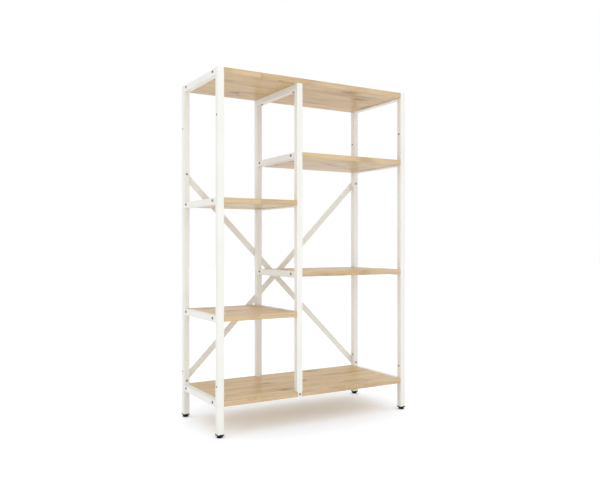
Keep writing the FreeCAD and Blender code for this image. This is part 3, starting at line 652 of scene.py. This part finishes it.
def coated_steel(name, colour, cloud, thin):
    material, tree, shader = new_material(name)
    edge = edge_mask(tree, reach=0.0009, patches=90.0, evenness=0.45)
    surface = use_effect(tree, powder_coat, {
        "Colour": colour, "Cloud Colour": cloud, "Thin Colour": thin, "Edge": edge})
    wire_surface(tree, shader, surface, bump_depth=0.00006, bump_strength=0.35)
    # Inside the bore the coat gives way to a dark colour, partly bare steel and partly painted shade.
    outside = use_effect(tree, tube_bore, {})["Outside"]
    tree.links.new(blended(tree, BORE_STEEL_AND_SHADE, surface["Colour"], outside), shader.inputs["Base Color"])
    tree.links.new(product(tree, outside, CLEAR_LAYER), shader.inputs["Coat Weight"])
    shader.inputs["Specular IOR Level"].default_value = COAT_SHINE
    shader.inputs["Coat Roughness"].default_value = CLEAR_LAYER_ROUGHNESS
    return material


white_steel = coated_steel(
    "white_steel", colour=srgb(239, 239, 235), cloud=srgb(235, 235, 230), thin=srgb(221, 218, 210))
brace_steel = coated_steel(
    "brace_steel", colour=srgb(240, 242, 238), cloud=srgb(236, 237, 232), thin=srgb(222, 220, 213))
print("materials:", white_steel.name, brace_steel.name)

# %% [markdown]
# ## Oak boards
# The faces carry the printed oak under a clear satin foil. Seen at a shallow angle the foil mirrors the
# white room, which veils the print, and behind each rear post the veil is missing, so the post's mirror
# image shows as a deeper, warmer band across the board. That takes a low roughness and a deep print colour.
# Where the board is cut into, in the notches and pilot holes, the print stops and the pressed core shows,
# so the material looks at which way the surface faces: up or down means facing, sideways means core. The
# core is drawn as small cells shaded between two tans, like glued chips.

# %% Materials: oak facing over a pressed core
FACE_PRINT = {
    "Pale": srgb(229, 202, 154), "Honey": srgb(210, 178, 128), "Brown": srgb(148, 111, 71),
    "Knot": srgb(116, 68, 26),
}
CORE_PALE = srgb(196, 164, 120)
CORE_DARK = srgb(142, 108, 72)
CORE_CHIPS = (260.0, 520.0, 700.0)
FACING_LEAST = 0.6
FOIL_SHINE = 0.2


def pressed_core(tree, place):
    """The colour of the glued chips, one shade to each chip."""
    feeds = {"Vector": reckon_place(tree, "MULTIPLY", place, CORE_CHIPS), "Scale": 1.0}
    chips = add_node(tree, "TexVoronoi", feeds).outputs["Color"]
    return blended(tree, CORE_PALE, CORE_DARK, apart(tree, chips)[0])


def oak_board_material():
    material, tree, shader = new_material("oak_facing")
    place = object_place(tree)
    surface = use_effect(tree, printed_oak, {
        "Place": place, "Stave Width": 0.0745, "Stave Length": 0.86, "Stave Contrast": 1.0, **FACE_PRINT})
    upward = reckon(tree, "ABSOLUTE", apart(tree, true_normal(tree))[2])
    is_face = reckon(tree, "GREATER_THAN", upward, FACING_LEAST)
    wire_surface(tree, shader, surface, bump_depth=0.00005, bump_strength=0.4)
    colour = blended(tree, pressed_core(tree, place), surface["Colour"], is_face)
    tree.links.new(colour, shader.inputs["Base Color"])
    shader.inputs["Specular IOR Level"].default_value = FOIL_SHINE
    return material


oak_facing = oak_board_material()
print("material:", oak_facing.name)

# %% [markdown]
# ## Edge band
# The band is a strip of the same oak print on plastic, glued round the board's edges and trimmed flush.
# Its print runs along the edge, so the grain is read from the edge's own length and height: on the long
# edges that is X and Z. Its colours are nearly the faces' own. It looks more golden only because nobody
# sees it at a shallow angle, where the white room would veil it. The band is one lane high, so its staves
# are given a width that no board reaches.

# %% Material: edge band
BAND_PRINT = {
    "Pale": srgb(220, 198, 162), "Honey": srgb(204, 177, 138), "Brown": srgb(150, 116, 80),
    "Knot": srgb(104, 68, 38),
}
BAND_SHIFT = 3.7


def edge_band_material():
    material, tree, shader = new_material("oak_band")
    long_way, deep_way, upright = apart(tree, object_place(tree))
    place = together(tree, long_way, upright, reckon(tree, "ADD", deep_way, BAND_SHIFT))
    surface = use_effect(tree, printed_oak, {
        "Place": place, "Stave Width": 5.0, "Stave Length": 0.31, "Stave Contrast": 0.35, "Knots": 0.2,
        **BAND_PRINT})
    wire_surface(tree, shader, surface, bump_depth=0.00004, bump_strength=0.35)
    shader.inputs["Specular IOR Level"].default_value = FOIL_SHINE
    return material


oak_band = edge_band_material()
print("material:", oak_band.name)

# %% [markdown]
# ## Plastic
# Black glides and white caps share the moulded effect. Black plastic on a floor picks up grey scuffs at
# its rim first.

# %% Materials: moulded plastic
def moulded_plastic(name, colour, scuff, shine):
    material, tree, shader = new_material(name)
    edge = edge_mask(tree, reach=0.0006, patches=260.0, evenness=0.3)
    surface = use_effect(tree, moulded_grain, {"Colour": colour, "Scuff Colour": scuff, "Edge": edge})
    wire_surface(tree, shader, surface, bump_depth=0.00002, bump_strength=0.3)
    shader.inputs["Specular IOR Level"].default_value = shine
    return material


black_plastic = moulded_plastic("black_plastic", colour=srgb(5, 5, 5), scuff=srgb(30, 29, 27), shine=0.22)
white_plastic = moulded_plastic(
    "white_plastic", colour=srgb(237, 235, 229), scuff=srgb(222, 219, 211), shine=0.45)
print("materials:", black_plastic.name, white_plastic.name)

# %% [markdown]
# ## Fasteners
# The rung screws, the nuts, and the brace bolts with the tab screws share the metal effect. The rung
# screws are the darkest. The bolts and tab screws are paler and nearly matt, and the nuts are bright zinc.

# %% Materials: fasteners
def skinned_metal(name, colour, patch, bare, dullness, metallic):
    material, tree, shader = new_material(name)
    edge = edge_mask(tree, reach=0.00035, patches=700.0, evenness=0.35)
    surface = use_effect(tree, thin_metal_skin, {
        "Colour": colour, "Patch Colour": patch, "Bare Colour": bare, "Edge": edge, "Dullness": dullness})
    wire_surface(tree, shader, surface, bump_depth=0.00001, bump_strength=0.3)
    shader.inputs["Metallic"].default_value = metallic
    return material


dark_steel = skinned_metal(
    "dark_steel", colour=srgb(145, 143, 139), patch=srgb(126, 124, 120), bare=srgb(184, 182, 177),
    dullness=0.36, metallic=0.9)
dull_steel = skinned_metal(
    "dull_steel", colour=srgb(172, 168, 161), patch=srgb(158, 154, 148), bare=srgb(198, 195, 189),
    dullness=0.5, metallic=0.3)
zinc_steel = skinned_metal(
    "zinc_steel", colour=srgb(176, 178, 178), patch=srgb(150, 153, 156), bare=srgb(205, 205, 203),
    dullness=0.3, metallic=1.0)
print("materials:", dark_steel.name, dull_steel.name, zinc_steel.name)

# %% [markdown]
# ## Dress the construction model
# Each construction piece belongs to one finish, and the record says which. The table below gives the
# material for each of the record's finishes, and every piece's slots are filled from it. The brace bolts
# and tab screws are dark fasteners too, but duller and paler, so they are named apart.

# %% Give every piece its material
MATERIAL_OF_SLOT = {
    "white_coat": white_steel, "brace_coat": brace_steel, "oak_board": oak_facing,
    "oak_edge_band": oak_band, "black_plastic": black_plastic, "white_plastic": white_plastic,
    "dark_fasteners": dark_steel, "zinc_nuts": zinc_steel,
}
DULL_FASTENERS = ("brace_bolts", "brace_centre_bolt", "tab_screws")
slot_of_node = {entry["node"]: entry["material_slot"] for entry in frame["record"]["subparts"]}
for node_name, piece in frame["nodes"].items():
    material = dull_steel if node_name in DULL_FASTENERS else MATERIAL_OF_SLOT[slot_of_node[node_name]]
    if not piece.material_slots:
        piece.data.materials.append(material)
    for material_slot in piece.material_slots:
        material_slot.material = material
print("dressed", len(frame["nodes"]), "pieces")

# %% [markdown]
# ## Weld beads over and under the rungs
# The rungs are welded between the posts. Above and below a rung the bead stays: a small fillet about two
# millimetres high, with the ripples that the torch leaves as it moves along. A smooth fillet would look
# cast, so each bead is swept from one side of the tube to the other, as rows of points round a quarter
# circle whose radius swells and shrinks with the ripples. The first point of each row lies a little
# inside both tubes, so that no gap shows.

# %% One rippled bead
BEAD_LEG = 0.0021
BEAD_RIPPLE = 0.00028
RIPPLE_LENGTH = 0.0016
BEAD_FLATNESS = 0.22
BEAD_END_SHARE = 0.35
BEAD_END_RISE = 5.0
BEAD_STEPS = 36
BEAD_TURNS = 6
SINK = 0.0002


def bridge_rows(mesh, rows):
    """Joins rows of points into one closed skin with two end caps."""
    count = len(rows[0])
    for first, second in zip(rows, rows[1:]):
        for index in range(count):
            following = (index + 1) % count
            mesh.faces.new((first[index], second[index], second[following], first[following]))
    mesh.faces.new(rows[0])
    mesh.faces.new(list(reversed(rows[-1])))


def add_bead(mesh, corner, sideways, out_along, out_up, length):
    """Sweeps one bead from a corner point along a direction, filling the angle between two faces."""
    rows = []
    for step in range(BEAD_STEPS + 1):
        along = length * step / BEAD_STEPS
        from_end = min(step, BEAD_STEPS - step) / BEAD_STEPS
        taper = min(1.0, BEAD_END_SHARE + BEAD_END_RISE * from_end)
        ripple = BEAD_RIPPLE * math.sin(2 * math.pi * along / RIPPLE_LENGTH)
        reach = (BEAD_LEG + ripple) * taper
        start = corner + sideways * along
        row = [start - (out_along + out_up) * SINK]
        for turn in range(BEAD_TURNS + 1):
            angle = math.pi / 2 * turn / BEAD_TURNS
            bulge = reach * (1.0 - BEAD_FLATNESS * (1.0 - abs(math.cos(2 * angle))))
            row.append(start + (out_along * math.cos(angle) + out_up * math.sin(angle)) * bulge)
        rows.append([mesh.verts.new(point) for point in row])
    bridge_rows(mesh, rows)


print("a bead has", (BEAD_STEPS + 1) * (BEAD_TURNS + 2), "points")

# %% [markdown]
# ## Ground welds beside the rungs
# On a rung's two sides the post's rounded corner leaves a narrow groove. There the weld fills the groove
# and is ground down until it is nearly flush, so it is a plain strip with a soft crown. It runs up the
# rung's side and bends back with the rung's rounded edges.

# %% One ground weld
GROOVE = 0.002
GROOVE_MIDDLE = 0.5
WELD_ROOT = 0.4
GRIND_REACH = 0.0016
GRIND_CROWN = 0.00012
GRIND_END = 0.0005
GRIND_STEPS = 28
GRIND_TURNS = 8


def add_ground_weld(mesh, edge, outward, to_rung, height):
    """A strip that fills the groove beside a rung's end and follows the rung's rounded edges."""
    rows = []
    for step in range(GRIND_STEPS + 1):
        above = GRIND_END + (height - 2 * GRIND_END) * step / GRIND_STEPS
        into_round = max(0.0, GROOVE - min(above, height - above))
        recess = GROOVE - math.sqrt(GROOVE ** 2 - into_round ** 2)
        foot = edge + Vector((0, 0, above))
        row = [foot - outward * GROOVE - to_rung * GROOVE * WELD_ROOT]
        for turn in range(GRIND_TURNS + 1):
            across = 2.0 * turn / GRIND_TURNS - 1.0
            lift = GRIND_CROWN * (1.0 - across ** 2) - (SINK if turn in (0, GRIND_TURNS) else 0.0)
            aside = to_rung * (GRIND_REACH * across - GROOVE * GROOVE_MIDDLE)
            row.append(foot - outward * recess + aside + outward * lift)
        rows.append([mesh.verts.new(point) for point in row])
    bridge_rows(mesh, rows)


print("a ground weld has", (GRIND_STEPS + 1) * (GRIND_TURNS + 2), "points")

# %% [markdown]
# ## The welds of the three frames
# The rungs' boxes in the construction model say where every weld belongs, so no place is typed. All the
# welds of one frame are one piece, because they are one welding job. The topmost rung has no bead on top:
# it is ground flat there, level with the posts.

# %% Weld each frame
BEAD_INSET = 0.0022


def piece_from(mesh, name, material):
    """A new piece of the scene with this mesh and this material."""
    data = bpy.data.meshes.new(name)
    mesh.to_mesh(data)
    mesh.free()
    piece = bpy.data.objects.new(name, data)
    bpy.context.scene.collection.objects.link(piece)
    piece.data.materials.append(material)
    return piece


def weld_rung(mesh, rung, bare_top):
    """The ground strips beside one rung and the beads under and over it, at both of its ends."""
    low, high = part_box(rung)
    length = high.x - low.x - 2 * BEAD_INSET
    height = high.z - low.z
    for end, inward in ((low.y, 1.0), (high.y, -1.0)):
        to_rung = Vector((0, inward, 0))
        for face, outward in ((low.x, -1.0), (high.x, 1.0)):
            edge = Vector((face, end, low.z))
            add_ground_weld(mesh, edge, Vector((outward, 0, 0)), to_rung, height)
        for level, upward in ((low.z, -1.0), (high.z, 1.0)):
            if bare_top and upward > 0:
                continue
            corner = Vector((low.x + BEAD_INSET, end, level))
            add_bead(mesh, corner, Vector((1, 0, 0)), to_rung, Vector((0, 0, upward)), length)


def make_beads(name, rungs, topmost):
    """All the welds of one frame as one piece."""
    mesh = bmesh.new()
    for rung in rungs:
        weld_rung(mesh, rung, bare_top=rung == topmost)
    bmesh.ops.recalc_face_normals(mesh, faces=mesh.faces)
    beads = piece_from(mesh, name, white_steel)
    for face in beads.data.polygons:
        face.use_smooth = True
    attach(beads, "root")
    return beads


for side in ("left", "middle", "right"):
    rungs = sorted(name for name in frame["nodes"] if name.startswith(f"{side}_rung"))
    beads = make_beads(f"{side}_frame_weld_beads", rungs, f"{side}_rung_top")
    print(beads.name, len(beads.data.polygons), "faces")

# %% [markdown]
# ## Studio floor
# A catalogue picture of this kind is made on a white sweep. The floor must come out white and still keep
# the soft, warm shadow below the bottom board. So the floor is an ordinary pale surface whose own colour is
# lighter and a little cooler only where it is directly seen: it bounces the right amount of light up, and
# still reads as white in the picture. It also has a faint glow there, which keeps the shadow from getting
# too deep and lights nothing else.

# %% Floor
FLOOR_HALF_WIDTH = 14.0
FLOOR_OWN_COLOUR = (0.93, 0.93, 0.925, 1.0)
FLOOR_SEEN_COLOUR = (1.033, 1.089, 1.166, 1.0)
FLOOR_GLOW = 0.135
FLOOR_ROUGHNESS = 0.8
FLOOR_SHINE = 0.1
PURE_WHITE = (1.0, 1.0, 1.0, 1.0)


def directly_seen(tree):
    """1 for what the camera sees, straight or mirrored or through glass, and 0 for light's own paths."""
    path = add_node(tree, "LightPath", {}).outputs
    mirrored = reckon(tree, "MAXIMUM", path["Is Glossy Ray"], path["Is Transmission Ray"])
    return reckon(tree, "MAXIMUM", path["Is Camera Ray"], mirrored)


def pale_floor_material():
    material, tree, shader = new_material("pale_floor")
    seen = directly_seen(tree)
    tree.links.new(blended(tree, FLOOR_OWN_COLOUR, FLOOR_SEEN_COLOUR, seen), shader.inputs["Base Color"])
    shader.inputs["Emission Color"].default_value = PURE_WHITE
    tree.links.new(product(tree, seen, FLOOR_GLOW), shader.inputs["Emission Strength"])
    shader.inputs["Roughness"].default_value = FLOOR_ROUGHNESS
    shader.inputs["Specular IOR Level"].default_value = FLOOR_SHINE
    return material


def make_floor():
    mesh = bmesh.new()
    bmesh.ops.create_grid(mesh, x_segments=1, y_segments=1, size=FLOOR_HALF_WIDTH)
    floor = piece_from(mesh, "studio_floor", pale_floor_material())
    return floor


floor = make_floor()
print("floor", floor.dimensions[:])

# %% [markdown]
# ## Studio light
# The light is very soft and comes from all round, so the sky itself is the main lamp. Two large square
# lamps make it a little stronger from the front: one stands high, and one stands low and lights the
# undersides of the boards. What the camera sees of the sky, straight or mirrored, is plain white.

# %% Light
ROOM_WHITE = (1.0, 0.995, 0.985, 1.0)
ROOM_LIGHT = 0.95


def make_sky():
    """Even light from everywhere; the camera and reflections see plain white."""
    world = bpy.data.worlds.new("soft_room")
    world.use_nodes = True
    tree = world.node_tree
    tree.nodes.clear()
    white = add_node(tree, "Background", {"Color": PURE_WHITE, "Strength": 1.0}).outputs[0]
    room = add_node(tree, "Background", {"Color": ROOM_WHITE, "Strength": ROOM_LIGHT}).outputs[0]
    mixed = add_node(tree, "MixShader", {0: directly_seen(tree), 1: room, 2: white}).outputs[0]
    add_node(tree, "OutputWorld", {"Surface": mixed})
    bpy.context.scene.world = world
    return world


def add_softbox(name, place, aim, size, power):
    """One large square lamp that looks at a point."""
    data = bpy.data.lights.new(name, "AREA")
    data.shape = "SQUARE"
    data.size = size
    data.energy = power
    lamp = bpy.data.objects.new(name, data)
    lamp.visible_camera = False
    lamp.location = place
    lamp.rotation_euler = (Vector(aim) - Vector(place)).to_track_quat("-Z", "Y").to_euler()
    bpy.context.scene.collection.objects.link(lamp)
    return lamp


sky = make_sky()
lamps = (
    add_softbox("front_softbox", place=(-0.9, -4.2, 2.2), aim=(0.0, 0.0, 0.55), size=2.4, power=15.0),
    add_softbox("low_softbox", place=(-1.6, -2.6, 0.12), aim=(0.1, 0.0, 1.0), size=1.6, power=16.0),
)
print("sky:", sky.name, "lamps:", *[lamp.name for lamp in lamps])

# %% [markdown]
# ## Camera
# The camera stands a little left of the unit, just above the middle of its height, and looks level, so
# that all the posts stay upright in the picture. Its place was found from the corners of the posts. The
# turn is in degrees, and lens and sensor are in millimetres.

# %% Camera
CAMERA_PLACE = (-1.1248, -1.9420, 0.5678)
CAMERA_TURN = 30.436
CAMERA_LENS = 39.78
CAMERA_SENSOR = 36.0
CAMERA_SHIFT_UP = -0.0014


def make_camera():
    data = bpy.data.cameras.new("studio_camera")
    data.sensor_width = CAMERA_SENSOR
    data.lens = CAMERA_LENS
    data.shift_y = CAMERA_SHIFT_UP
    data.dof.use_dof = False
    camera = bpy.data.objects.new("studio_camera", data)
    camera.location = CAMERA_PLACE
    camera.rotation_euler = (math.radians(90), 0.0, math.radians(-CAMERA_TURN))
    bpy.context.scene.collection.objects.link(camera)
    bpy.context.scene.camera = camera
    return camera


camera = make_camera()
bpy.context.scene.view_settings.view_transform = "Standard"
print(camera.name, "at", CAMERA_PLACE)
